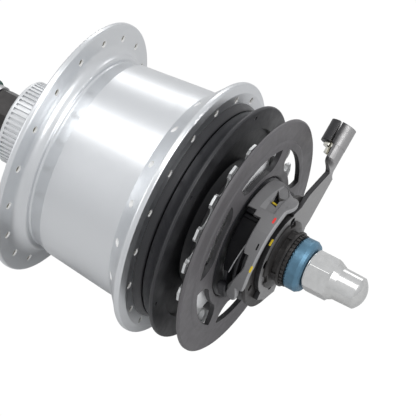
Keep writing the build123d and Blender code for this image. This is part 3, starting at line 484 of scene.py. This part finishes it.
def oblong_pad(name, radius, start, end, width, height, material, body, slot=None):
    """Slightly crowned oblong with round ends, laid on a drum from one (angle, y) to another."""
    shoulder = 0.6 * height
    crown = ((-1, PAD_SUNK), (-1, shoulder), (-0.5, height), (0.5, height), (1, shoulder), (1, PAD_SUNK))
    first = Vector((radius * radians(start[0]), start[1]))
    last = Vector((radius * radians(end[0]), end[1]))
    along = last - first
    length = along.length
    along.normalize()
    across = Vector((-along.y, along.x))
    half = width / 2
    sections = []
    for i in range(PAD_STEPS + 1):
        place = length / 2 - (length / 2 + half) * cos(pi * i / PAD_STEPS)
        over = max(0.0, abs(place - length / 2) - length / 2)
        reach = max(PAD_LEAST_REACH, sqrt(max(0.0, half * half - over * over)))
        section = []
        for side, lift in crown:
            spot = first + along * place + across * side * reach
            section.append(on_drum(radius + lift, degrees(spot.x / radius), spot.y))
        sections.append(section)
    add_piece(name, *tube_of_sections(sections), material, body, slot)


# ---------------------------------------------------------------- small pieces
def level_rows(angles, left, right):
    """Rows (angle, left y, right y) of a block that keeps one width."""
    return [(angle, left, right) for angle in angles]


# Each block has its (inner, outer) radii and its rows of (angle, left y, right y)
GUIDE_RADII = (22.55, 22.85)
GUIDE_ROWS = level_rows((*range(95, 120, 4), 121.6), -48.0, -54.9) + [
    (126, -48.0, -54.5), (131, -48.0, -54.1), (136, -48.1, -53.7), (141, -48.2, -53.25),
    (146, -48.4, -52.8), (151, -48.7, -52.4), (156, -49.0, -51.95), (161.6, -49.5, -51.5),
]
HOOD_LIP_RADII = (22.95, 24.98)
HOOD_LIP_ROWS = (
    (65.2, -59.2, -60.6), (66.1, -59.8, -61.7), (67.3, -60.0, -62.35), (68.7, -60.0, -62.7),
    (71.0, -60.0, -63.0), (73.3, -60.0, -63.1), (76.0, -60.0, -63.1), (78.2, -60.0, -62.9),
    (80.5, -60.0, -62.5), (82.5, -60.0, -62.0), (84.5, -60.0, -61.6), (86.4, -60.0, -61.3),
    (88.5, -60.0, -61.2),
)
STOP_RADII = (22.7, 24.5)
STOP_ROWS = level_rows((97.0, 98.5, 100.0, 101.5), -48.2, -51.3)
STEP_RADII = (22.7, 23.5)
STEP_ROWS = level_rows((102.0, 103.3, 104.6, 106.0), -48.2, -54.3)
CHEEK_RADII = (22.6, 25.0)
CHEEK_ROWS = level_rows((175.5, 179.0, 183.0, 187.0, 191.0, 195.0), -48.3, -51.9)
LAND_RADII = (20.2, 22.35)
LAND_ROWS = level_rows(range(56, 100, 3), -54.25, -57.2)


def sprocket_dish():
    """Bright cone pressed into the sprocket's web, seen through the guard's windows; its near-white, nearly
    unmetallic finish is partly the plating's own brightness and partly a painted reflection.
    """
    turned_ring("sprocket_dish", DISH_CORNERS, "bright_web", "driver_unit", "sprocket_steel")


def cable_guide():
    """Guide in front of the pulley, with its lip in pale plastic as a painted highlight, its stop and step,
    and the cheek at its low end.
    """
    dark = ("deep_black", "axle_unit", "black_plastic")
    curved_block("cable_guide", GUIDE_RADII, GUIDE_ROWS, 0.12, *dark)
    # The lip is pale plastic laid along the guide's border as a painted highlight
    oblong_pad("cable_guide_lip", GUIDE_RADII[1], (121.6, -54.75), (161.2, -51.45), 0.4, 0.16,
               "lit_edge", "axle_unit", "grey_drum")
    curved_block("cable_guide_stop", STOP_RADII, STOP_ROWS, 0.35, *dark)
    curved_block("cable_guide_step", STEP_RADII, STEP_ROWS, 0.35, *dark)
    curved_block("cable_guide_cheek", CHEEK_RADII, CHEEK_ROWS, 0.6, "black_plastic", "axle_unit",
                 "black_plastic")


def hood_lip():
    """Lip on the outboard edge of the cover's hood."""
    curved_block("hood_lip", HOOD_LIP_RADII, HOOD_LIP_ROWS, 0.5, "grey_drum", "axle_unit", "grey_drum")


def index_marks():
    """Land on the shifter under the window, the painted marks, and a black pad painted as the shade in the
    arrow notch.
    """
    curved_block("index_land", LAND_RADII, LAND_ROWS, 0.25, "deep_black", "shifter", "black_plastic")
    marks = (
        # name, drum radius, first (angle, y), last (angle, y), width, height, material, body
        ("index_mark_window", 22.37, (77.3, -53.9), (78.3, -55.9), 0.9, 0.07, "yellow_paint", "shifter"),
        ("index_mark_red", 25.0, (96.4, -59.7), (100.4, -59.7), 0.85, 0.07, "red_paint", "axle_unit"),
        ("index_mark_low", 24.98, (142.8, -60.3), (147.4, -60.1), 0.8, 0.07, "yellow_paint", "axle_unit"),
        ("index_mark_ring", 16.5, (110.5, -60.5), (117.5, -60.5), 0.8, 0.07, "yellow_paint", "axle_unit"),
        # Painted shade: a black pad where the engraved arrow notch lies in shade
        ("arrow_notch_painted_shade", 24.97, (122.8, -59.2), (127.5, -59.2), 0.6, 0.05, "deep_black", "axle_unit"),
    )
    for mark in marks:
        oblong_pad(*mark)


# ---------------------------------------------------------------- studio
def softbox(name, place, size, power):
    """Large white rectangular light, aimed at the middle of the hub."""
    data = bpy.data.lights.new(name, "AREA")
    data.shape = "RECTANGLE"
    data.size, data.size_y = size
    data.energy = power
    light = bpy.data.objects.new(name, data)
    light.location = place
    light.rotation_mode = "QUATERNION"
    light.rotation_quaternion = (-Vector(place)).to_track_quat("-Z", "Y")
    bpy.context.scene.collection.objects.link(light)


def pale_world():
    """Even pale surround, a little brighter overhead than at the horizon."""
    world = bpy.data.worlds.new("studio")
    bpy.context.scene.world = world
    world.use_nodes = True
    tree = world.node_tree
    sky = tree.nodes["Background"]
    sky.inputs["Color"].default_value = (*SKY_COLOUR, 1.0)
    place = tree.nodes.new("ShaderNodeTexCoord")
    split = tree.nodes.new("ShaderNodeSeparateXYZ")
    height = tree.nodes.new("ShaderNodeMapRange")
    height.inputs["To Min"].default_value = SKY_STRENGTH[0]
    height.inputs["To Max"].default_value = SKY_STRENGTH[1]
    tree.links.new(place.outputs["Generated"], split.inputs[0])
    tree.links.new(split.outputs["Z"], height.inputs["Value"])
    tree.links.new(height.outputs[0], sky.inputs["Strength"])


def floor_paper():
    """White paper: the camera sees it as clear white, and the object reflects it with its own shadow."""
    m = Shader("floor_paper", PAPER_GREY, 0.0, 0.9)
    white = m.add("ShaderNodeEmission")
    white.inputs["Strength"].default_value = PAPER_WHITE
    seen = m.add("ShaderNodeLightPath")
    mix = m.add("ShaderNodeMixShader")
    m.link(seen.outputs["Is Camera Ray"], mix.inputs[0])
    m.link(m.bsdf.outputs[0], mix.inputs[1])
    m.link(white.outputs[0], mix.inputs[2])
    m.link(mix.outputs[0], m.tree.nodes["Material Output"].inputs["Surface"])
    return m.material


def floor():
    """Square of paper just under the object."""
    z = CAD_BOX[0].z - FLOOR_DROP
    mesh = bpy.data.meshes.new("floor")
    corners = [(x * FLOOR_REACH, y * FLOOR_REACH, z) for x, y in ((-1, -1), (1, -1), (1, 1), (-1, 1))]
    mesh.from_pydata(corners, [], [(0, 1, 2, 3)])
    mesh.materials.append(floor_paper())
    sheet = bpy.data.objects.new("floor", mesh)
    bpy.context.scene.collection.objects.link(sheet)


def camera():
    """Long lens from above, behind and on the drive side of the hub."""
    data = bpy.data.cameras.new("camera")
    data.lens = LENS
    data.sensor_width = SENSOR
    back = CAMERA_RIGHT.cross(CAMERA_UP)
    turn = Matrix((CAMERA_RIGHT, CAMERA_UP, back)).transposed()
    view = bpy.data.objects.new("camera", data)
    view.matrix_world = Matrix.Translation(CAMERA_PLACE) @ turn.to_4x4()
    bpy.context.scene.collection.objects.link(view)
    bpy.context.scene.camera = view


dress_cad_nodes()
sprocket_dish()
cable_guide()
hood_lip()
index_marks()
pale_world()
for box in SOFTBOXES:
    softbox(*box)
floor()
camera()
bpy.context.scene.view_settings.view_transform = "Standard"
